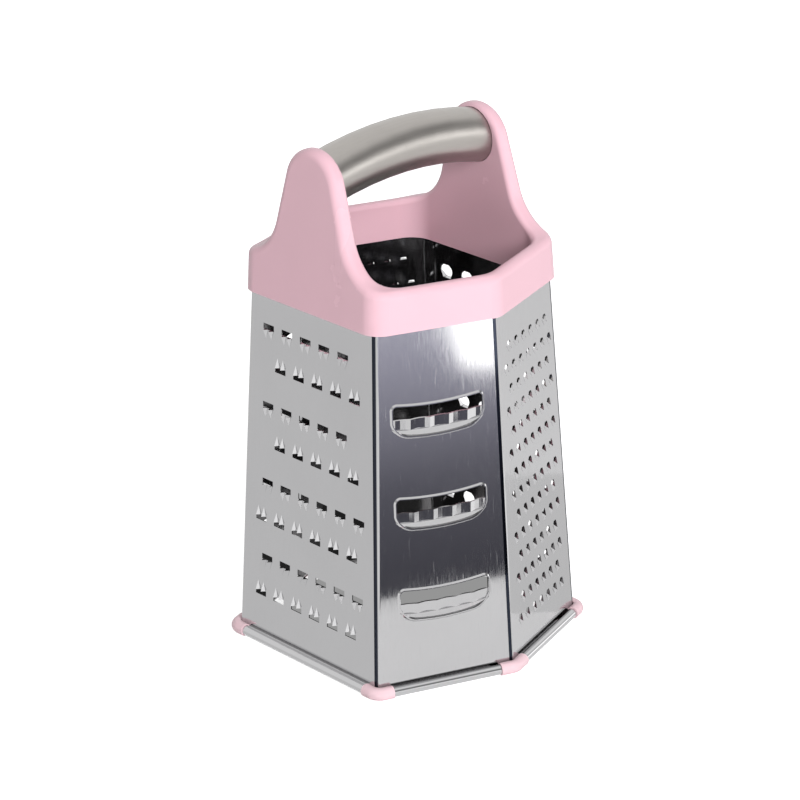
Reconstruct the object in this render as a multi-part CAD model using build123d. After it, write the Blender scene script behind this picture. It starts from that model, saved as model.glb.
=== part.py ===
"""Six-sided box grater with a moulded collar and a bowed tube handle.

Millimetres, +Z up. The origin is on the table, under the middle of the body,
and X runs along the handle. The faces are numbered counterclockwise from above,
starting at the wide face on the -X side, so each face has its neighbour's number
plus one to its right, seen from outside.
"""
import os
from math import cos, radians, sin, sqrt, tan

from build123d import *

os.makedirs("parts", exist_ok=True)

# Body
body_half_length = 60.9
wide_face_half_width = 47.2
narrow_face_turn = 19.7
wall_lean = 3.06
sheet = 0.5
fold_radius = 1.3
seam_gap = 1.6
flange = 6.0

# Rolled hem along the foot of each panel
hem_height = 2.6
hem_radius = 2.3
hem_sweep = 285.0

# Corner feet
foot_radius = 2.9
foot_arm = 7.5
foot_bend = 5.0

# Collar and its two uprights
collar_height = 166.0
collar_depth = 18.5
sheet_tuck = 10.0
collar_overhang = 2.8
groove_clearance = 0.1
narrow_wall_inset = 3.7
wide_wall_inset = 6.4
collar_outer_corner = 10.0
collar_inner_corner = 12.0
lip_outer_round = 3.6
lip_inner_round = 2.4
upright_rise = 53.4
upright_thickness = 7.1
upright_crown_radius = 16.75
upright_side_slope = 15.4
upright_flare_radius = 24.0

# Handle tube
tube_radius = 12.1
tube_wall = 1.0
tube_drop = 14.7
tube_bow = 5.6
tube_spans = 8
tube_seat_depth = 1.2
tube_clearance = 0.2
spigot_length = 8.0

# Two-spike rasp
rasp_columns = 6
rasp_first_height = 23.7
rasp_row_pitch = 18.2
rasp_top_margin = 14.0
rasp_side_margin = 7.8
rasp_pitch = 12.2
rasp_stagger = 4.2
rasp_slot_width = 7.0
rasp_slot_height = 2.6
rasp_spike_width = 2.3
rasp_spike_length = 4.3
rasp_spike_height = 1.7
rasp_spike_spacing = 3.6

# Fine teardrop holes
fine_first_height = 21.5
fine_row_pitch = 9.85
fine_top_margin = 15.0
fine_pitch = 7.0
fine_side_margin = 6.0
fine_hole_half_width = 1.65
fine_hole_rise = 1.6
fine_hole_drop = 1.9
fine_tooth_height = 1.2
fine_tooth_length = 2.2

# Coarse teardrop holes
coarse_first_height = 24.2
coarse_row_pitch = 12.6
coarse_top_margin = 14.0
coarse_pitch = 13.6
coarse_side_margin = 6.5
coarse_hole_half_width = 3.8
coarse_hole_rise = 3.4
coarse_hole_drop = 3.4
coarse_rim_half_width = 2.4
coarse_tooth_height = 1.8
coarse_tooth_length = 8.2

# Small slits
slit_first_height = 22.0
slit_row_pitch = 12.0
slit_top_margin = 11.0
slit_pitch = 8.0
slit_side_margin = 7.0
slit_half_width = 1.7
slit_top_half_width = 1.2
slit_height = 1.1
slit_tooth_half_width = 0.9
slit_tooth_height = 1.3
slit_tooth_length = 2.4

# Slicing slots and their blades
slot_first_height = 40.5
slot_pitch = 42.4
slot_top_margin = 33.0
slot_side_margin = 6.8
slot_half_height = 7.5
slot_rim = 0.4
slot_rim_height = 0.7
blade_thickness = 0.9
blade_root = 1.2
blade_knee_height = 3.9
blade_knee_rise = 1.9
blade_edge_height = 8.8
blade_rise = 2.4
blade_scallop = 0.7
blade_facets = 20
wavy_ridges = 4
straight_ridges = 0

# Cuts run past the faces by this much
overrun = 2.0

# Places along a slot's outline, as shares of its half width and half height
slot_top_end_shares = (0.88, 1.0)
slot_top_middle_shares = (0.0, 0.83)
slot_corner_shares = (0.972, 0.94)
slot_side_top_shares = (1.0, 0.76)
slot_side_foot_shares = (1.0, 0.0)
slot_bilge_shares = (0.86, -0.62)
slot_bottom_end_shares = (0.6, -0.9)
slot_bottom_middle_shares = (0.0, -1.0)

# Upper outlines of the teardrop holes, as shares of their half width and their rise
fine_top_shares = ((0.6, 0.85), (-0.6, 0.85))
coarse_top_shares = ((0.88, 0.5), (0.45, 0.9), (-0.45, 0.9), (-0.88, 0.5))

lip_height = collar_height + collar_depth
upright_height = lip_height + upright_rise
sheet_top_height = collar_height + sheet_tuck
tube_end_height = upright_height - tube_drop
up = Vector(0, 0, 1)
lean_slope = tan(radians(wall_lean))
turn_slope = tan(radians(narrow_face_turn))
wide_reach = body_half_length
narrow_reach = (wide_face_half_width + turn_slope * body_half_length) * cos(radians(narrow_face_turn))
half_turn = 180.0
quarter_turn = 90.0
bearings = [half_turn + s for s in (
    0, quarter_turn - narrow_face_turn, quarter_turn + narrow_face_turn,
    half_turn, half_turn + quarter_turn - narrow_face_turn, half_turn + quarter_turn + narrow_face_turn)]
reaches = [wide_reach, narrow_reach, narrow_reach, wide_reach, narrow_reach, narrow_reach]
face_count = len(bearings)


def outward(face):
    """Level direction out of a face."""
    angle = radians(bearings[face % face_count])
    return Vector(cos(angle), sin(angle), 0)


def rightward(face):
    """Level direction along a face, to the right seen from outside."""
    angle = radians(bearings[face % face_count])
    return Vector(-sin(angle), cos(angle), 0)


def corner(face, height, offset, next_offset):
    """Where a face meets the next one, each moved out by its offset."""
    a, b = outward(face), outward(face + 1)
    reach_a = reaches[face % face_count] - lean_slope * height + offset
    reach_b = reaches[(face + 1) % face_count] - lean_slope * height + next_offset
    cross = a.X * b.Y - a.Y * b.X
    return Vector((reach_a * b.Y - reach_b * a.Y) / cross, (a.X * reach_b - b.X * reach_a) / cross, height)


def bend(point, arriving, leaving, radius):
    """Start, middle and end of a round corner at a point."""
    half = radians(arriving.get_angle(leaving) / 2)
    inward = (leaving - arriving).normalized()
    start = point - arriving * (radius * tan(half))
    middle = point + inward * (radius / cos(half) - radius)
    end = point + leaving * (radius * tan(half))
    return start, middle, end


def panel_edges(face, height):
    """Key points of a panel's level section: its fold on the left, its end on the right."""
    left, here, right = rightward(face - 1), rightward(face), rightward(face + 1)
    outer = bend(corner(face - 1, height, -sheet, 0), left, here, fold_radius)
    inner = bend(corner(face - 1, height, -2 * sheet, -sheet), left, here, fold_radius - sheet)
    end_inner = bend(corner(face, height, -sheet, 0), here, right, fold_radius)[0] - here * seam_gap
    return outer, inner, end_inner, end_inner + outward(face) * sheet


def flat_sided(rings):
    """Solid whose sides are the given flat polygons."""
    return Solid(Shell([Face(Wire.make_polygon(r, close=True)) for r in rings]))


def prismoid(bottom, top):
    """Solid with flat sides between two outlines that have as many corners."""
    count = len(bottom)
    rings = [bottom, top]
    rings += [[bottom[n], bottom[(n + 1) % count], top[(n + 1) % count], top[n]] for n in range(count)]
    return flat_sided(rings)


def flat_wall(face):
    """Flat part of a panel, from its fold to its free edge."""
    rings = []
    for height in (hem_height, sheet_top_height):
        outer, inner, end_inner, end_outer = panel_edges(face, height)
        rings.append([outer[2], end_outer, end_inner, inner[2]])
    return prismoid(*rings)


def fold(face):
    """Rounded corner of a panel and the flange that laps behind its left neighbour."""
    outer, inner, end_inner, end_outer = panel_edges(face, hem_height)
    tip_outer = outer[0] - rightward(face - 1) * flange
    tip_inner = tip_outer - outward(face - 1) * sheet
    edges = [
        Line(tip_outer, outer[0]),
        ThreePointArc(*outer),
        Line(outer[2], inner[2]),
        ThreePointArc(inner[2], inner[1], inner[0]),
        Line(inner[0], tip_inner),
        Line(tip_inner, tip_outer),
    ]
    rise = panel_edges(face, sheet_top_height)[0][0] - outer[0]
    return Solid.extrude(Face(Wire(edges)), rise)


def hem_curl(face):
    """Outward roll along the foot of a panel."""
    outer, inner, end_inner, end_outer = panel_edges(face, hem_height)
    section = Plane(origin=end_outer, x_dir=outward(face), z_dir=-rightward(face))
    centre = (hem_radius - sheet, 0)
    outside = CenterArc(centre, hem_radius, half_turn, hem_sweep)
    inside = CenterArc(centre, hem_radius - sheet, half_turn, hem_sweep)
    ring = make_face([outside, Line(outside @ 1, inside @ 1), inside, Line(inside @ 0, outside @ 0)])
    return extrude(section * ring, (end_outer - outer[2]).length)


def plain_panel(face):
    """Folded sheet of one face with its hem and no holes."""
    return flat_wall(face).fuse(fold(face), hem_curl(face))


def face_plane(face, middle_height):
    """Plane on a face: x to the right, y up the slope from the table, z outward."""
    middle = (corner(face - 1, middle_height, 0, 0) + corner(face, middle_height, 0, 0)) / 2
    lean = radians(wall_lean)
    normal = outward(face) * cos(lean) + up * sin(lean)
    slope = up * cos(lean) - outward(face) * sin(lean)
    return Plane(origin=middle - slope * (middle_height / cos(lean)), x_dir=rightward(face), z_dir=normal)


def on_slope(height):
    """Distance up the slope of a face for a height above the table."""
    return height / cos(radians(wall_lean))


def hole(points):
    """Prism through the sheet with a straight-sided outline."""
    outline = make_face(Polyline(*points, close=True))
    return extrude(Pos(0, 0, -sheet - overrun) * outline, sheet + overrun + overrun)


def tooth(rim, tail):
    """Tooth pressed out below a hole: its rim stands on the hole's edge and slopes away to its tail.

    Each point of the rim is given with its height above the sheet, and its two ends lie on the sheet.
    """
    root = -sheet / 2
    foot = [Vector(x, y, root) for x, y, height in rim]
    crest = [Vector(*point) for point in rim]
    tail_foot, tail_top = Vector(0, tail, root), Vector(0, tail, 0)
    steps = range(len(rim) - 1)
    rings = [foot + [tail_foot]]
    rings += [[foot[n], foot[n + 1], crest[n + 1], crest[n]] for n in steps]
    rings += [[foot[-1], tail_foot, tail_top, crest[-1]], [tail_foot, foot[0], crest[0], tail_top]]
    rings += [[crest[n], crest[n + 1], tail_top] for n in steps]
    return flat_sided(rings)


def pierce(panel, plane, holes, teeth):
    """Panel with every hole cut and every tooth raised, both given in the plane of its face."""
    place = plane.location
    return panel.cut(*[place * h for h in holes]).fuse(*[place * t for t in teeth])


def half_width(face, height):
    """Half the width of a face at a height."""
    return (corner(face, height, 0, 0) - corner(face - 1, height, 0, 0)).length / 2


def rows_below_collar(first_height, row_pitch, top_margin):
    """Heights of the rows that fit between the lowest one and the collar."""
    count = int((collar_height - top_margin - first_height) / row_pitch) + 1
    return [first_height + row * row_pitch for row in range(count)]


def staggered(face, heights, pitch, side_margin, wider_row):
    """Places of a pattern whose rows have a column more and a column less by turns."""
    columns = int(2 * (half_width(face, collar_height) - side_margin) / pitch) + 1
    for row, height in enumerate(heights):
        count = columns if row % 2 == wider_row else columns - 1
        for column in range(count):
            yield (column - (count - 1) / 2) * pitch, on_slope(height)


def toothed_panel(face, places, outline, raised):
    """Panel with one hole and one tooth at each place."""
    opening = hole(outline)
    holes = [Pos(x, y) * opening for x, y in places]
    teeth = [Pos(x, y) * raised for x, y in places]
    return pierce(plain_panel(face), face_plane(face, collar_height / 2), holes, teeth)


def teardrop(half, rise, top_shares, rim):
    """Outline of a hole that is round above its tooth's rim."""
    return [(x, y) for x, y, height in rim] + [(x * half, y * rise) for x, y in top_shares]


def rasp_places():
    """Places of the rasp's slots, each with whether it is turned to point down."""
    for row, height in enumerate(rows_below_collar(rasp_first_height, rasp_row_pitch, rasp_top_margin)):
        turned = row % 2 == 0
        shift = -rasp_stagger / 2 if turned else rasp_stagger / 2
        room = half_width(0, height) - rasp_side_margin - rasp_slot_width / 2
        for column in range(rasp_columns):
            x = (column - (rasp_columns - 1) / 2) * rasp_pitch + shift
            if abs(x) < room:
                yield x, on_slope(height), turned


def rasp_panel(face):
    """Wide face with rows of slots, each with two spikes, pointing down and up by turns."""
    edge, top = rasp_slot_width / 2, rasp_slot_height
    opening = hole([(-edge, 0), (edge, 0), (edge, top), (-edge, top)])
    reach = rasp_spike_width / 2
    spike = tooth([(-reach, 0, 0), (0, 0, rasp_spike_height), (reach, 0, 0)], -rasp_spike_length)
    pair = [Pos(side * rasp_spike_spacing / 2, 0) * spike for side in (-1, 1)]
    holes, teeth = [], []
    for x, y, turned in rasp_places():
        seat = Pos(x, y) * Rot(0, 0, half_turn if turned else 0) * Pos(0, -rasp_slot_height / 2)
        holes.append(seat * opening)
        teeth += [seat * t for t in pair]
    return pierce(plain_panel(face), face_plane(face, collar_height / 2), holes, teeth)


def slot_half_width():
    """Half the width of a slicing slot, which fits the narrow faces below the collar."""
    return half_width(1, collar_height) - slot_side_margin


def slot_point(shares, side=1):
    """Point on a slot's outline from its shares."""
    return side * shares[0] * slot_half_width(), shares[1] * slot_half_height


def slot_outline():
    """Slot through the sheet, hollow along its upper edge and round below."""
    edges = [ThreePointArc(slot_point(slot_top_end_shares, -1), slot_point(slot_top_middle_shares),
                           slot_point(slot_top_end_shares))]
    for side in (1, -1):
        edges += [
            ThreePointArc(slot_point(slot_top_end_shares, side), slot_point(slot_corner_shares, side),
                          slot_point(slot_side_top_shares, side)),
            Line(slot_point(slot_side_top_shares, side), slot_point(slot_side_foot_shares, side)),
            ThreePointArc(slot_point(slot_side_foot_shares, side), slot_point(slot_bilge_shares, side),
                          slot_point(slot_bottom_end_shares, side)),
        ]
    edges.append(ThreePointArc(slot_point(slot_bottom_end_shares, 1), slot_point(slot_bottom_middle_shares),
                               slot_point(slot_bottom_end_shares, -1)))
    return make_face(edges)


def blade_strip(low, high, scallop, ridges):
    """Bowed strip that climbs from one point of the blade's side view to another, hollow between its ridges."""
    reach = slot_half_width() + blade_root
    front, back = [], []
    for n in range(blade_facets + 1):
        share = 2 * n / blade_facets - 1
        hollow = scallop * abs(sin(radians(half_turn) * (ridges + 1) * n / blade_facets))
        crest = blade_rise * (sqrt(1 - share ** 2) - 1) - hollow
        front.append((share * reach, crest))
        back.insert(0, (share * reach, crest - blade_thickness))
    section = make_face(Polyline(*front, *back, close=True))
    climb = high - low
    return extrude(Plane(origin=low, x_dir=(1, 0, 0), z_dir=-climb) * section, -climb.length)


def blade(ridges):
    """Ramp up from the slot's lower rim and, along its top, the ridged or plain strip with the edge."""
    foot = Vector(0, -slot_half_height - slot_rim / 2, 0)
    knee = Vector(0, blade_knee_height - slot_half_height, blade_knee_rise)
    edge = Vector(0, blade_edge_height - slot_half_height, blade_rise)
    ramp = blade_strip(foot, knee, 0, ridges)
    strip = blade_strip(knee, edge, blade_scallop if ridges else 0, ridges)
    reach = 2 * slot_half_width()
    return ramp.fuse(strip) & (Pos(0, 0, blade_rise - sheet / 2) * Box(2 * reach, reach, 2 * blade_rise))


def slicer_panel(face, ridges):
    """Narrow face with a column of slots, each with a raised blade along its lower half."""
    outline = slot_outline()
    opening = extrude(Pos(0, 0, -sheet - overrun) * outline, sheet + overrun + overrun)
    rim = extrude(offset(outline, slot_rim + slot_rim_height), slot_rim_height, taper=quarter_turn / 2)
    rim_root = extrude(offset(outline, slot_rim + slot_rim_height), -sheet / 2)
    strip = blade(ridges)
    heights = rows_below_collar(slot_first_height, slot_pitch, slot_top_margin)
    place = face_plane(face, collar_height / 2).location
    seats = [place * Pos(0, on_slope(height)) for height in heights]
    panel = plain_panel(face)
    panel = panel.fuse(*[s * r for s in seats for r in (rim, rim_root)])
    panel = panel.cut(*[s * opening for s in seats])
    return panel.fuse(*[s * strip for s in seats])


def fine_panel(face):
    """Narrow face with small raised teardrop holes."""
    heights = rows_below_collar(fine_first_height, fine_row_pitch, fine_top_margin)
    places = list(staggered(face, heights, fine_pitch, fine_side_margin, 0))
    half, drop = fine_hole_half_width, fine_hole_drop
    rim = [(-half, 0, 0), (0, -drop, fine_tooth_height), (half, 0, 0)]
    outline = teardrop(half, fine_hole_rise, fine_top_shares, rim)
    return toothed_panel(face, places, outline, tooth(rim, -drop - fine_tooth_length))


def coarse_panel(face):
    """Wide face with large raised teardrop holes."""
    heights = rows_below_collar(coarse_first_height, coarse_row_pitch, coarse_top_margin)
    places = list(staggered(face, heights, coarse_pitch, coarse_side_margin, 1))
    half, low, drop = coarse_hole_half_width, coarse_rim_half_width, coarse_hole_drop
    rim = [(-half, 0, 0), (-low, -drop, coarse_tooth_height), (low, -drop, coarse_tooth_height), (half, 0, 0)]
    outline = teardrop(half, coarse_hole_rise, coarse_top_shares, rim)
    return toothed_panel(face, places, outline, tooth(rim, -drop - coarse_tooth_length))


def slit_panel(face):
    """Narrow face with short level slits."""
    heights = rows_below_collar(slit_first_height, slit_row_pitch, slit_top_margin)
    places = list(staggered(face, heights, slit_pitch, slit_side_margin, 0))
    half, top, crest = slit_half_width, slit_top_half_width, slit_tooth_half_width
    rim = [(-half, 0, 0), (-crest, 0, slit_tooth_height), (crest, 0, slit_tooth_height), (half, 0, 0)]
    outline = [(-half, 0), (half, 0), (top, slit_height), (-top, slit_height)]
    return toothed_panel(face, places, outline, tooth(rim, -slit_tooth_length))


def hexagon(height, wide_offset, narrow_offset):
    """Corners of a level hexagon round the body, its wide and narrow faces moved out by their offsets."""
    offsets = [wide_offset if reach is wide_reach else narrow_offset for reach in reaches]
    return [corner(f, height, offsets[f], offsets[(f + 1) % face_count]) for f in range(face_count)]


def hexagonal_block(low, high, corner_radius):
    """Block between two hexagons, each given by its height and offsets, with round side edges."""
    block = prismoid(hexagon(*low), hexagon(*high))
    sides = block.edges().filter_by(lambda e: e.bounding_box().size.Z > (high[0] - low[0]) / 2)
    return fillet(sides, corner_radius)


def bell():
    """Outline of the collar seen along the handle: flat lip with an upright rising from it."""
    slope = radians(upright_side_slope)
    crown_centre = upright_height - upright_crown_radius
    crown_end = Vector(upright_crown_radius * cos(slope), crown_centre + upright_crown_radius * sin(slope))
    lip_corner = crown_end.X + (crown_end.Y - lip_height) * tan(slope)
    tangent = upright_flare_radius * tan((radians(quarter_turn) - slope) / 2)
    flare_start = Vector(lip_corner - tangent * sin(slope), lip_height + tangent * cos(slope))
    flare_end = Vector(lip_corner + tangent, lip_height)
    reach = 2 * body_half_length
    half = [
        Line(crown_end, flare_start),
        TangentArc(flare_start, flare_end, tangent=flare_start - crown_end),
        Line(flare_end, (reach, lip_height)),
        Line((reach, lip_height), (reach, collar_height)),
    ]
    mirrored = [e.mirror(Plane.YZ) for e in half]
    crown = ThreePointArc((-crown_end.X, crown_end.Y), (0, upright_height), crown_end)
    foot = Line((-reach, collar_height), (reach, collar_height))
    return make_face([crown, *half, *mirrored, foot])


def upright_inner_half_length(height):
    """Distance of an upright's inner side from the middle at a height."""
    share = (height - collar_height) / (upright_height - collar_height)
    top_inset = upright_thickness - collar_overhang
    inset = wide_wall_inset + share * (top_inset - wide_wall_inset)
    return body_half_length - lean_slope * height - inset


def tube_half_length():
    """How far the handle tube reaches from the middle, into its seats."""
    return upright_inner_half_length(tube_end_height) + tube_seat_depth


def handle_line():
    """Axis of the handle: straight spans along an arc, the end ones run on into the uprights."""
    half = tube_half_length()
    radius = (half ** 2 + tube_bow ** 2) / (2 * tube_bow)
    points = []
    for n in range(tube_spans + 1):
        x = half * (2 * n / tube_spans - 1)
        points.append(Vector(x, 0, tube_end_height + tube_bow - radius + sqrt(radius ** 2 - x ** 2)))
    points[0] += points[0] - points[1]
    points[-1] += points[-1] - points[-2]
    return points


def bowed_bar(bar_radius, half_length):
    """Round bar along the handle's line, cut square to X at both ends."""
    points = handle_line()
    section = Plane(origin=points[0], z_dir=points[1] - points[0]) * Circle(bar_radius)
    bar = sweep(section, Polyline(*points), transition=Transition.RIGHT)
    block = Box(2 * half_length, 4 * bar_radius, 4 * bar_radius + 4 * tube_bow)
    return bar & (Pos(0, 0, tube_end_height) * block)


def handle_tube():
    """Bowed tube between the uprights."""
    return bowed_bar(tube_radius, tube_half_length()) - bowed_bar(tube_radius - tube_wall, tube_half_length())


def skin_offset(point):
    """How far a point lies outside the skin of the body."""
    return max(outward(f).dot(point) + lean_slope * point.Z - reaches[f] for f in range(face_count))


def lip_edges(ring, side):
    """Edges of the lip on the outer side, for side 1, or on the inner side, for side -1."""
    level = ring.edges().filter_by_position(Axis.Z, lip_height - sheet, lip_height + sheet)
    return level.filter_by(lambda e: e.bounding_box().size.Z < sheet and side * skin_offset(e @ (1 / 2)) > 0)


def collar_ring():
    """Wall of the collar with both uprights and its rounded lip."""
    top = upright_height + overrun
    top_inset = upright_thickness - collar_overhang
    outer = hexagonal_block((collar_height, collar_overhang, collar_overhang),
                            (top, collar_overhang, collar_overhang), collar_outer_corner)
    inner = hexagonal_block((collar_height, -wide_wall_inset, -narrow_wall_inset),
                            (top, -top_inset, -narrow_wall_inset), collar_inner_corner)
    ring = (outer - inner) & extrude(Plane.YZ * bell(), 2 * body_half_length, both=True)
    ring = fillet(lip_edges(ring, -1), lip_inner_round)
    return fillet(lip_edges(ring, 1), lip_outer_round)


def groove():
    """Room for the folded edges of the panels in the foot of the collar."""
    top = sheet_top_height + groove_clearance
    core = -2 * sheet - groove_clearance
    room = hexagonal_block((collar_height, groove_clearance, groove_clearance),
                           (top, groove_clearance, groove_clearance), fold_radius)
    return room - hexagonal_block((collar_height, core, core), (top, core, core), fold_radius - sheet)


def collar():
    """Moulded collar with both uprights, the groove for the panels and the tube's spigots."""
    spigots = bowed_bar(tube_radius - tube_wall - tube_clearance, tube_half_length() + tube_seat_depth)
    spigots -= bowed_bar(tube_radius, tube_half_length() - spigot_length)
    seats = bowed_bar(tube_radius + tube_clearance, tube_half_length())
    return collar_ring() - groove() - seats + spigots


def body_core():
    """Solid inside the outer skin of the panels."""
    return hexagonal_block((0, 0, 0), (sheet_top_height, 0, 0), sheet / 2)


def hem_rod(face, from_end):
    """Round bar that fills a hem, from one of its ends."""
    outer, inner, end_inner, end_outer = panel_edges(face, hem_height)
    start, direction = (outer[2], rightward(face)) if from_end == "left" else (end_outer, -rightward(face))
    section = Plane(origin=start + outward(face) * (hem_radius - sheet), z_dir=direction)
    return extrude(section * Circle(hem_radius), foot_arm)


def corner_foot(face):
    """Bent cap over the ends of two hems, where a face meets the next one."""
    tip = corner(face, hem_height, hem_radius - sheet, hem_radius - sheet)
    start, end = tip - rightward(face) * foot_arm, tip + rightward(face + 1) * foot_arm
    section = Plane(origin=start, z_dir=rightward(face)) * Circle(foot_radius)
    foot = sweep(section, FilletPolyline(start, tip, end, radius=foot_bend))
    foot -= body_core()
    foot -= hem_rod(face, "right").fuse(hem_rod(face + 1, "left"))
    reach = 2 * (foot_arm + foot_radius)
    return foot - Pos(tip.X, tip.Y, -foot_radius) * Box(2 * reach, 2 * reach, 2 * foot_radius)


nodes = {
    "panel_rasp": lambda: rasp_panel(0),
    "panel_wavy_slicer": lambda: slicer_panel(1, wavy_ridges),
    "panel_fine": lambda: fine_panel(2),
    "panel_coarse": lambda: coarse_panel(3),
    "panel_slits": lambda: slit_panel(4),
    "panel_straight_slicer": lambda: slicer_panel(5, straight_ridges),
    "collar": collar,
    "handle_tube": handle_tube,
}
foot_names = ["foot_left_front", "foot_front", "foot_right_front", "foot_right_back", "foot_back", "foot_left_back"]
for number, name in enumerate(foot_names):
    nodes[name] = lambda face=number: corner_foot(face)

if __name__ == "__main__":
    for name, make in nodes.items():
        solid = make()
        solid.label = name
        export_step(solid, f"parts/{name}.step")
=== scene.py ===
"""Looks of the box grater: steel panels, bowed tube handle, pink collar and corner feet.

Metres, +Z up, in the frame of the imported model. Every piece is a CAD node apart from the low
hoods of the small slits, so this script finishes the nodes and sets up the studio round them.
"""
import math

import bpy
from mathutils import Matrix, Vector


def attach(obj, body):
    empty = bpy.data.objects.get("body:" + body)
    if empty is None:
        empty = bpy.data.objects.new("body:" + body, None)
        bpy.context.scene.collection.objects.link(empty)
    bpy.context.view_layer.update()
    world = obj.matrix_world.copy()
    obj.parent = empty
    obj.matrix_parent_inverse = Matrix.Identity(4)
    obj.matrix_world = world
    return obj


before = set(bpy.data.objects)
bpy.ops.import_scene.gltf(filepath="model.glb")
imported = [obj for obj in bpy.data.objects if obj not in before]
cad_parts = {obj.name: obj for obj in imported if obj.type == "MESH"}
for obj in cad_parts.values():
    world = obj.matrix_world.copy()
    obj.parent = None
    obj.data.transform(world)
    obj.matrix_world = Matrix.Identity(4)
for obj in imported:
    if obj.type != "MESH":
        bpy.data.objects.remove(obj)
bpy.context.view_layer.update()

MM = 0.001
UP = Vector((0, 0, 1))
WHITE = (1.0, 1.0, 1.0, 1.0)

# Camera, as fitted to the photograph
PHOTO_PIXELS = 800
CAMERA_AZIMUTH = -41.94
CAMERA_ELEVATION = 22.797
CAMERA_ROLL = -1.148
CAMERA_DISTANCE = 1439.9 * MM
CAMERA_TARGET = Vector((0, 0, 100.0 * MM))
CAMERA_CLIP = (0.01, 50.0)
FOCAL_PIXELS = 3221.9
CENTRE_PIXEL = (404.04, 419.92)
SENSOR_MM = 36.0

# Panels in their order round the body, with the bearing that each one faces, and the feet
PANELS = ("panel_rasp", "panel_wavy_slicer", "panel_fine", "panel_coarse", "panel_slits",
          "panel_straight_slicer")
BEARINGS = (180.0, 250.3, 289.7, 0.0, 70.3, 109.7)
SLICER_BEARING = BEARINGS[1]
FEET = ("foot_left_front", "foot_front", "foot_right_front", "foot_right_back", "foot_back",
        "foot_left_back")

# Small slits, as in the part's source, and the hood over each
WALL_LEAN = 3.06
SLIT_WALL_REACH = 64.97 * MM
SLIT_ROWS = 12
SLIT_COLUMNS = 6
SLIT_FIRST_HEIGHT = 22.0 * MM
SLIT_ROW_PITCH = 12.0 * MM
SLIT_PITCH = 8.0 * MM
HOOD_FOOT_HALF = 1.7 * MM
HOOD_LIP_HALF = 0.9 * MM
HOOD_TOP_HALF = 1.3 * MM
HOOD_RISE = 2.4 * MM
HOOD_LIP_DROP = 0.9 * MM
HOOD_DEPTH = 1.3 * MM

# Sheet steel of the panels and brushed steel of the tube; grain scales are marks per metre along X, Y and Z
SHEET_TONE = (0.57, 0.567, 0.575, 1.0)
SHEET_GRAIN = (2600.0, 2600.0, 70.0)
SHEET_GRAIN_DEPTH = 0.008
SHEET_ROUGHNESS = 0.055
TUBE_TONE = (0.47, 0.445, 0.42, 1.0)
TUBE_GRAIN = (16.0, 1100.0, 1100.0)
TUBE_GRAIN_DEPTH = 0.3
TUBE_ROUGHNESS = 0.3
GRAIN_DETAIL = (4.0, 0.6)
GRAIN_SHADE = 0.88
GRAIN_COLOR_BAND = (0.35, 0.7)
GRAIN_COLOR_SHARE = 0.15
GRAIN_ROUGHNESS_BAND = (0.3, 0.75)
GRAIN_ROUGHNESS = 0.07
SMEAR_SCALE = 22.0
SMEAR_DETAIL = (3.0, 0.55)
SMEAR_SHADE = 0.94
SMEAR_COLOR_BAND = (0.35, 0.75)
SMEAR_COLOR_SHARE = 0.5
SMEAR_ROUGHNESS_BAND = (0.4, 0.8)
SMEAR_ROUGHNESS = 0.05
SCRATCH_SCALE = (1500.0, 1500.0, 45.0)
SCRATCH_DETAIL = (1.0, 0.4)
SCRATCH_BAND = (0.68, 0.74)
SCRATCH_ROUGHNESS = 0.1
SCRATCH_HEIGHT = 0.15
SPECKLE_SCALE = 900.0
SPECKLE_DETAIL = (2.0, 0.5)
SPECKLE_HEIGHT = 0.25
STEEL_RELIEF = 0.02 * MM

# Painted shade: the flange behind a neighbour is painted dark for the shade in the seam, and the side of a
# panel that faces inwards is painted darker for the shade inside the body
FACING_LIMIT = 0.99
LAP_PAINTED_SHADE = (0.03, 0.035, 0.05, 1.0)
INWARD_PAINTED_SHADE = (0.26, 0.255, 0.26, 1.0)

# Moulded plastic
COLLAR_TONE = (0.82, 0.515, 0.59, 1.0)
COLLAR_ROUGHNESS = 0.24
FOOT_TONE = (0.84, 0.60, 0.65, 1.0)
FOOT_ROUGHNESS = 0.33
PLASTIC_IOR = 1.5
FLOW_SCALE = (30.0, 30.0, 12.0)
FLOW_DETAIL = (2.0, 0.5)
FLOW_SHADE = 0.965
FLOW_BAND = (0.3, 0.7)
FLOW_COLOR_SHARE = 0.6
FLOW_ROUGHNESS = 0.05
WEAR_SCALE = 90.0
WEAR_DETAIL = (3.0, 0.6)
WEAR_SHADE = 0.975
WEAR_BAND = (0.55, 0.8)
WEAR_COLOR_SHARE = 0.12
WEAR_ROUGHNESS = 0.01
TEXTURE_SCALE = 2600.0
TEXTURE_DETAIL = (2.0, 0.5)
TEXTURE_HEIGHT = 0.3
PLASTIC_RELIEF = 0.05 * MM
PLASTIC_RELIEF_STRENGTH = 0.06

# Studio floor, and the sky as its height and sides are mirrored in the steel
FLOOR_SIZE = 12.0
FLOOR_TONE = (0.8, 0.8, 0.8, 1.0)
FLOOR_SEEN_GLOW = 0.8
FLOOR_MIRRORED_GLOW = 0.35
DAYLIGHT = 0.32
SKY_STOPS = ((0.0, 1.3), (0.59, 1.3), (0.67, 0.26), (0.82, 0.3), (0.9, 0.95), (1.0, 1.0))
BACK_SKY = 1.0
BACK_BAND = (-0.35, 0.0)
WINDOW_GLOW = 0.9
WINDOW_SIDE_BAND = (0.1, 0.35)
WINDOW_TOP_BAND = (0.12, 0.3)

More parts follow.
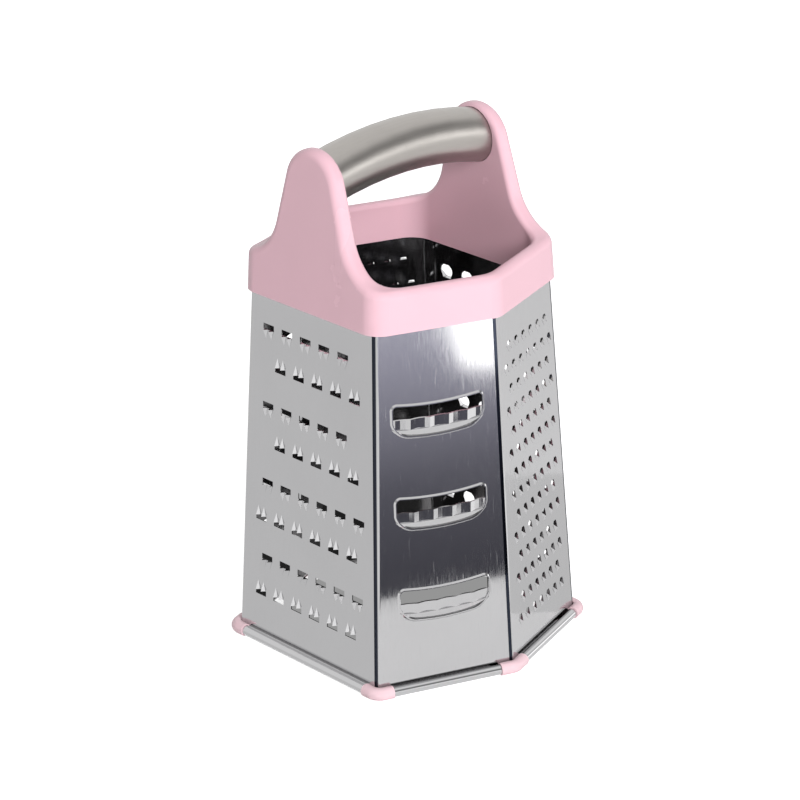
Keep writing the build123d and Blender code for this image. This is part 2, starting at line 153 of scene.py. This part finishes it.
# Cards on the table that only reflections show, each by its left, right, near and far limit before the body
CARD_LIFT = 1 * MM
CARD_BEARING = 270.0
DARK_NEAR = 176 * MM
DARK_FAR = 700 * MM
DARK_LEFT = -500 * MM
DARK_RIGHT = 330 * MM
DARK_TINT = (0.9, 0.89, 1.08, 1.0)
DARK_STOPS = ((0.0, 0.08), (0.29, 0.16), (0.72, 0.54), (1.0, 0.72))
PLAIN_CARDS = (
    # name, layer, glow, and the four limits in millimetres
    ("bright_card", 2, 1.0, (90, 1500, 150, 2000)),
    ("bright_patch", 2, 3.0, (8, 90, 545, 800)),
    ("near_card", 3, 1.3, (62, 240, 105, 290)),
    ("left_card", 2, 0.8, (-900, -62, -900, 40)),
    ("right_card", 1, 0.8, (60, 235, -200, 160)),
    ("side_card", 2, 1.0, (-1000, -120, 30, 500)),
)
# Painted shade inside the body: a dim card on the table within the body, grey to the camera and nearly dark
# in reflections
INSIDE_SHADE_REACH = (57 * MM, 61 * MM)
INSIDE_SHADE_CORNERS = 48
INSIDE_SHADE_GLOW = 0.05
INSIDE_SHADE_SEEN_GLOW = 0.25

# Lamps: place, point faced, size and power
KEY_LAMP = ((-0.65, -1.98, 1.15), (0, 0, 0.15), (1.2, 0.9), 50.0)
TOP_LAMP = ((-0.2, 0.3, 1.8), (0, 0, 0.12), (1.4, 1.4), 2.5)


class Value:
    """A socket's output in a sum: each operator adds the Math node it stands for."""

    def __init__(self, paint, socket):
        self.paint = paint
        self.socket = socket

    def math(self, operation, first, second):
        return self.paint.add("ShaderNodeMath", {"operation": operation}, first, second)

    def __add__(self, other):
        return self.math("ADD", self, other)

    def __sub__(self, other):
        return self.math("SUBTRACT", self, other)

    def __rsub__(self, other):
        return self.math("SUBTRACT", other, self)

    def __mul__(self, other):
        return self.math("MULTIPLY", self, other)

    __radd__ = __add__
    __rmul__ = __mul__

    def above(self, threshold):
        return self.math("GREATER_THAN", self, threshold)

    def between(self, low, high):
        """0 below low, 1 above high and even in between."""
        return self.paint.add("ShaderNodeMapRange", {"interpolation_type": "SMOOTHSTEP"}, self, low, high)


class Paint:
    """Node tree of one material or world, built by calls."""

    def __init__(self, owner):
        owner.use_nodes = True
        self.tree = owner.node_tree
        self.tree.nodes.clear()

    def add(self, kind, settings=None, *values, out=0, **named):
        """New node with its settings, then its sockets by order or by name; returns one output."""
        node = self.tree.nodes.new(kind)
        for key, value in (settings or {}).items():
            if key == "stops":
                self.set_stops(node.color_ramp, value)
            else:
                setattr(node, key, value)
        for number, value in enumerate(values):
            self.feed(node.inputs[number], value)
        for name, value in named.items():
            self.feed(node.inputs[name.replace("_", " ")], value)
        return Value(self, node.outputs[out]) if node.outputs else node

    def feed(self, socket, value):
        """Links a value to a socket, or sets a constant on it."""
        if isinstance(value, Value):
            self.tree.links.new(value.socket, socket)
        else:
            socket.default_value = value

    @staticmethod
    def set_stops(ramp, stops):
        """Gives a colour ramp its stops, each new one halfway until it gets its place."""
        while len(ramp.elements) < len(stops):
            ramp.elements.new(0.5)
        for element, (position, color) in zip(ramp.elements, stops):
            element.position = position
            element.color = color

    def mix(self, factor, first, second):
        """Colour between the first and the second."""
        node = self.tree.nodes.new("ShaderNodeMix")
        node.data_type = "RGBA"
        inputs = {socket.identifier: socket for socket in node.inputs}
        outputs = {socket.identifier: socket for socket in node.outputs}
        self.feed(inputs["Factor_Float"], factor)
        self.feed(inputs["A_Color"], first)
        self.feed(inputs["B_Color"], second)
        return Value(self, outputs["Result_Color"])

    def ramp(self, position, stops):
        """Strength that follows the given (position, strength) stops; strengths may pass 1."""
        top = max(strength for _, strength in stops)
        greys = [(at, (strength / top,) * 3 + (1.0,)) for at, strength in stops]
        return self.add("ShaderNodeValToRGB", {"stops": greys}, position) * top

    def place(self):
        """Position on the object in its own frame, in metres."""
        return self.add("ShaderNodeTexCoord", out="Object")

    def facing(self, bearing):
        """How far the surface faces a level direction, from 1 to -1."""
        normal = self.add("ShaderNodeTexCoord", out="Normal")
        return self.add("ShaderNodeVectorMath", {"operation": "DOT_PRODUCT"}, normal, level(bearing),
                        out="Value")

    def ray(self, kind):
        """1 for a light path of the given kind, otherwise 0."""
        return self.add("ShaderNodeLightPath", out="Is " + kind + " Ray")

    def stretched(self, place, scale):
        """The place with its axes scaled, for grain that runs one way."""
        return self.add("ShaderNodeVectorMath", {"operation": "MULTIPLY"}, place, Vector(scale))

    def noise(self, place, scale, detail, roughness):
        return self.add("ShaderNodeTexNoise", Vector=place, Scale=scale, Detail=detail, Roughness=roughness)

    def along(self, vector, axis):
        """One axis of a vector."""
        return self.add("ShaderNodeSeparateXYZ", None, vector, out=axis)

    def relief(self, strength, distance, height):
        """Normal of a surface with the given fine height on it."""
        return self.add("ShaderNodeBump", Strength=strength, Distance=distance, Height=height)

    def close(self, shader, kind="Material"):
        """Ends the tree in its output."""
        self.add("ShaderNodeOutput" + kind, None, shader)


def level(bearing):
    """Level direction of a bearing in degrees, counted from +X towards +Y."""
    angle = math.radians(bearing)
    return Vector((math.cos(angle), math.sin(angle), 0))


def shade(tone, share):
    """The tone at a share of its brightness."""
    return tuple(channel * share for channel in tone[:3]) + (1.0,)


def new_mesh(name, points, faces):
    """Object of the given points and faces, in the scene."""
    mesh = bpy.data.meshes.new(name)
    mesh.from_pydata(points, [], faces)
    piece = bpy.data.objects.new(name, mesh)
    bpy.context.scene.collection.objects.link(piece)
    return piece


def steel(name, tone, grain_scale, grain_depth, smoothness, add_painted_shade=None):
    """Steel with a fine grain, smears and hair scratches; the optional last argument paints shade onto its
    colour in places.
    """
    material = bpy.data.materials.new(name)
    paint = Paint(material)
    place = paint.place()
    grain = paint.noise(paint.stretched(place, grain_scale), 1.0, *GRAIN_DETAIL)
    smears = paint.noise(place, SMEAR_SCALE, *SMEAR_DETAIL)
    speckle = paint.noise(place, SPECKLE_SCALE, *SPECKLE_DETAIL)
    scratch = paint.noise(paint.stretched(place, SCRATCH_SCALE), 1.0, *SCRATCH_DETAIL).between(*SCRATCH_BAND)
    smeared = smears.between(*SMEAR_COLOR_BAND) * SMEAR_COLOR_SHARE
    grained = grain.between(*GRAIN_COLOR_BAND) * GRAIN_COLOR_SHARE
    color = paint.mix(smeared, tone, shade(tone, SMEAR_SHADE))
    color = paint.mix(grained, color, shade(tone, GRAIN_SHADE))
    if add_painted_shade:
        color = add_painted_shade(paint, color)
    roughness = (smoothness + grain.between(*GRAIN_ROUGHNESS_BAND) * GRAIN_ROUGHNESS
                 + smears.between(*SMEAR_ROUGHNESS_BAND) * SMEAR_ROUGHNESS + scratch * SCRATCH_ROUGHNESS)
    height = grain + scratch * SCRATCH_HEIGHT + speckle * SPECKLE_HEIGHT
    normal = paint.relief(grain_depth, STEEL_RELIEF, height)
    paint.close(paint.add("ShaderNodeBsdfPrincipled", Base_Color=color, Metallic=1.0, Roughness=roughness,
                          Normal=normal))
    return material


def panel_steel(name, lap_bearing, inward_bearing):
    """Sheet steel with painted shade: dark on the flange behind its neighbour, as shade in the seam, and
    darker on its side that faces inwards, as shade inside the body.
    """
    def paint_seam_and_inside_shade(paint, color):
        # Painted shade: dark on the flange in the seam, darker on the side that faces inwards
        color = paint.mix(paint.facing(lap_bearing).above(FACING_LIMIT), color, LAP_PAINTED_SHADE)
        return paint.mix(paint.facing(inward_bearing).above(FACING_LIMIT), color, INWARD_PAINTED_SHADE)

    return steel(name, SHEET_TONE, SHEET_GRAIN, SHEET_GRAIN_DEPTH, SHEET_ROUGHNESS, paint_seam_and_inside_shade)


def moulded(name, tone, smoothness):
    """Glossy moulded plastic with slight flow marks, wear and a fine texture."""
    material = bpy.data.materials.new(name)
    paint = Paint(material)
    place = paint.place()
    flow = paint.noise(paint.stretched(place, FLOW_SCALE), 1.0, *FLOW_DETAIL)
    texture = paint.noise(place, TEXTURE_SCALE, *TEXTURE_DETAIL)
    wear = paint.noise(place, WEAR_SCALE, *WEAR_DETAIL).between(*WEAR_BAND)
    color = paint.mix(flow.between(*FLOW_BAND) * FLOW_COLOR_SHARE, tone, shade(tone, FLOW_SHADE))
    color = paint.mix(wear * WEAR_COLOR_SHARE, color, shade(tone, WEAR_SHADE))
    roughness = smoothness + flow * FLOW_ROUGHNESS + wear * WEAR_ROUGHNESS
    normal = paint.relief(PLASTIC_RELIEF_STRENGTH, PLASTIC_RELIEF, texture * TEXTURE_HEIGHT + flow)
    paint.close(paint.add("ShaderNodeBsdfPrincipled", Base_Color=color, Roughness=roughness, Normal=normal,
                          IOR=PLASTIC_IOR))
    return material


def dress(names, material):
    """Gives CAD nodes their finish."""
    for name in names:
        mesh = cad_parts[name].data
        mesh.materials.clear()
        mesh.materials.append(material)


def slit_hoods():
    """Low hood pressed out over each small slit, which leaves a thin opening below it."""
    lean = math.radians(WALL_LEAN)
    out = level(BEARINGS[PANELS.index("panel_slits")])
    right = UP.cross(out)
    rise = UP * math.cos(lean) - out * math.sin(lean)
    normal = out * math.cos(lean) + UP * math.sin(lean)
    corners = ((-HOOD_FOOT_HALF, 0, 0), (-HOOD_LIP_HALF, -HOOD_LIP_DROP, HOOD_DEPTH),
               (HOOD_LIP_HALF, -HOOD_LIP_DROP, HOOD_DEPTH), (HOOD_FOOT_HALF, 0, 0),
               (HOOD_TOP_HALF, HOOD_RISE, 0), (-HOOD_TOP_HALF, HOOD_RISE, 0))
    roof, left_side, right_side = (1, 2, 4, 5), (0, 1, 5), (2, 3, 4)
    points, faces = [], []
    for row in range(SLIT_ROWS):
        count = SLIT_COLUMNS - row % 2
        up = (SLIT_FIRST_HEIGHT + row * SLIT_ROW_PITCH) / math.cos(lean)
        for column in range(count):
            across = (column - (count - 1) / 2) * SLIT_PITCH
            start = len(points)
            points += [out * SLIT_WALL_REACH + right * (across + x) + rise * (up + y) + normal * z
                       for x, y, z in corners]
            faces += [tuple(start + corner for corner in face) for face in (roof, left_side, right_side)]
    piece = new_mesh("slit_hoods", points, faces)
    piece.data.materials.append(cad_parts["panel_slits"].data.materials[0])
    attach(piece, "root")


def floor():
    """Pale studio floor that is white to the camera apart from the object's shadow."""
    half = FLOOR_SIZE / 2
    piece = new_mesh("floor", [(-half, -half, 0), (half, -half, 0), (half, half, 0), (-half, half, 0)],
                     [(0, 1, 2, 3)])
    material = bpy.data.materials.new("pale_floor")
    paint = Paint(material)
    mirrored = paint.ray("Glossy") + paint.ray("Transmission")
    strength = paint.ray("Camera") * FLOOR_SEEN_GLOW + mirrored * FLOOR_MIRRORED_GLOW
    glow = paint.add("ShaderNodeEmission", None, WHITE, strength)
    matt = paint.add("ShaderNodeBsdfDiffuse", None, FLOOR_TONE)
    paint.close(paint.add("ShaderNodeAddShader", None, glow, matt))
    piece.data.materials.append(material)


def card(name, outline, layer, strength, tint=WHITE, turn=0):
    """Flat card on the table that only reflections show; strength gives its glow in its own node tree."""
    piece = new_mesh(name, [(x, y, 0) for x, y in outline], [tuple(range(len(outline)))])
    piece.rotation_euler = (0, 0, math.radians(turn))
    piece.location = (0, 0, layer * CARD_LIFT)
    piece.visible_camera = False
    piece.visible_diffuse = False
    piece.visible_shadow = False
    material = bpy.data.materials.new(name)
    paint = Paint(material)
    paint.close(paint.add("ShaderNodeEmission", None, tint, strength(paint)))
    piece.data.materials.append(material)
    return piece


def oval(reach, corners):
    """Outline of an oval card."""
    angles = [2 * math.pi * number / corners for number in range(corners)]
    return [(reach[0] * math.cos(angle), reach[1] * math.sin(angle)) for angle in angles]


def oblong(left, right, near, far):
    """Outline of a rectangular card in front of the body, whose far side is at -Y."""
    return [(left, -far), (right, -far), (right, -near), (left, -near)]


def cards():
    """What the steel reflects: a dark stretch of table before the slicer and bright ones; a dim card inside
    the body is painted shade there.
    """
    def fading(paint):
        away = (paint.along(paint.place(), "Y") + DARK_NEAR) * (1 / (DARK_NEAR - DARK_FAR))
        return paint.ramp(away, DARK_STOPS)

    card("dark_card", oblong(DARK_LEFT, DARK_RIGHT, DARK_NEAR, DARK_FAR), 1, fading, DARK_TINT,
         SLICER_BEARING - CARD_BEARING)
    for name, layer, glow, limits in PLAIN_CARDS:
        card(name, oblong(*(limit * MM for limit in limits)), layer, lambda paint: glow)
    # Painted shade: a dim card inside the body, grey to the camera through the openings
    inside = card("inside_shade_card", oval(INSIDE_SHADE_REACH, INSIDE_SHADE_CORNERS), 1,
                  lambda paint: paint.ray("Camera") * INSIDE_SHADE_SEEN_GLOW + INSIDE_SHADE_GLOW)
    inside.visible_camera = True


def daylight():
    """Even surroundings: white where the camera looks, shaped where steel mirrors them, soft as a light."""
    world = bpy.data.worlds.new("studio")
    bpy.context.scene.world = world
    paint = Paint(world)
    direction = paint.add("ShaderNodeTexCoord", out="Generated")
    height = paint.along(direction, "Z")
    back = paint.along(direction, "Y").between(*BACK_BAND)
    right = paint.along(direction, "X").between(*WINDOW_SIDE_BAND)
    window = right * (1 - height.between(*WINDOW_TOP_BAND)) * WINDOW_GLOW
    sky = (paint.ramp(height * 0.5 + 0.5, SKY_STOPS) + window) * (1 - back) + back * BACK_SKY
    soft = paint.add("ShaderNodeBackground", None, WHITE, DAYLIGHT)
    reflected = paint.add("ShaderNodeBackground", None, WHITE, sky)
    white = paint.add("ShaderNodeBackground", None, WHITE, 1.0)
    mirrored = paint.ray("Glossy") + paint.ray("Transmission")
    shader = paint.add("ShaderNodeMixShader", None, mirrored, soft, reflected)
    paint.close(paint.add("ShaderNodeMixShader", None, paint.ray("Camera"), shader, white), "World")


def softbox(name, place, target, size, power):
    """Rectangular lamp that faces a point and that no reflection shows."""
    lamp = bpy.data.lights.new(name, "AREA")
    lamp.shape = "RECTANGLE"
    lamp.size, lamp.size_y = size
    lamp.energy = power
    piece = bpy.data.objects.new(name, lamp)
    piece.location = place
    piece.rotation_euler = (Vector(target) - Vector(place)).to_track_quat("-Z", "Y").to_euler()
    piece.visible_glossy = False
    bpy.context.scene.collection.objects.link(piece)


def camera():
    """Camera at the photograph's place, turned and shifted as it was."""
    elevation, roll = math.radians(CAMERA_ELEVATION), math.radians(CAMERA_ROLL)
    right = level(CAMERA_AZIMUTH)
    back = right.cross(UP) * math.cos(elevation) + UP * math.sin(elevation)
    above = back.cross(right)
    turned_right = right * math.cos(roll) + above * math.sin(roll)
    turned_above = above * math.cos(roll) - right * math.sin(roll)
    lens = bpy.data.cameras.new("camera")
    lens.sensor_width = SENSOR_MM
    lens.lens = FOCAL_PIXELS * SENSOR_MM / PHOTO_PIXELS
    lens.shift_x = (PHOTO_PIXELS / 2 - CENTRE_PIXEL[0]) / PHOTO_PIXELS
    lens.shift_y = (CENTRE_PIXEL[1] - PHOTO_PIXELS / 2) / PHOTO_PIXELS
    lens.clip_start, lens.clip_end = CAMERA_CLIP
    piece = bpy.data.objects.new("camera", lens)
    turn = Matrix((turned_right, turned_above, back)).transposed().to_4x4()
    piece.matrix_world = Matrix.Translation(CAMERA_TARGET + back * CAMERA_DISTANCE) @ turn
    bpy.context.scene.collection.objects.link(piece)
    bpy.context.scene.camera = piece


bpy.context.scene.view_settings.view_transform = "Standard"
camera()
daylight()
floor()
cards()
softbox("key", *KEY_LAMP)
softbox("top", *TOP_LAMP)

for number, panel in enumerate(PANELS):
    dress([panel], panel_steel(panel + "_steel", BEARINGS[number - 1], BEARINGS[number] + 180))
dress(["handle_tube"], steel("tube_steel", TUBE_TONE, TUBE_GRAIN, TUBE_GRAIN_DEPTH, TUBE_ROUGHNESS))
dress(["collar"], moulded("collar_plastic", COLLAR_TONE, COLLAR_ROUGHNESS))
dress(FEET, moulded("foot_plastic", FOOT_TONE, FOOT_ROUGHNESS))
slit_hoods()
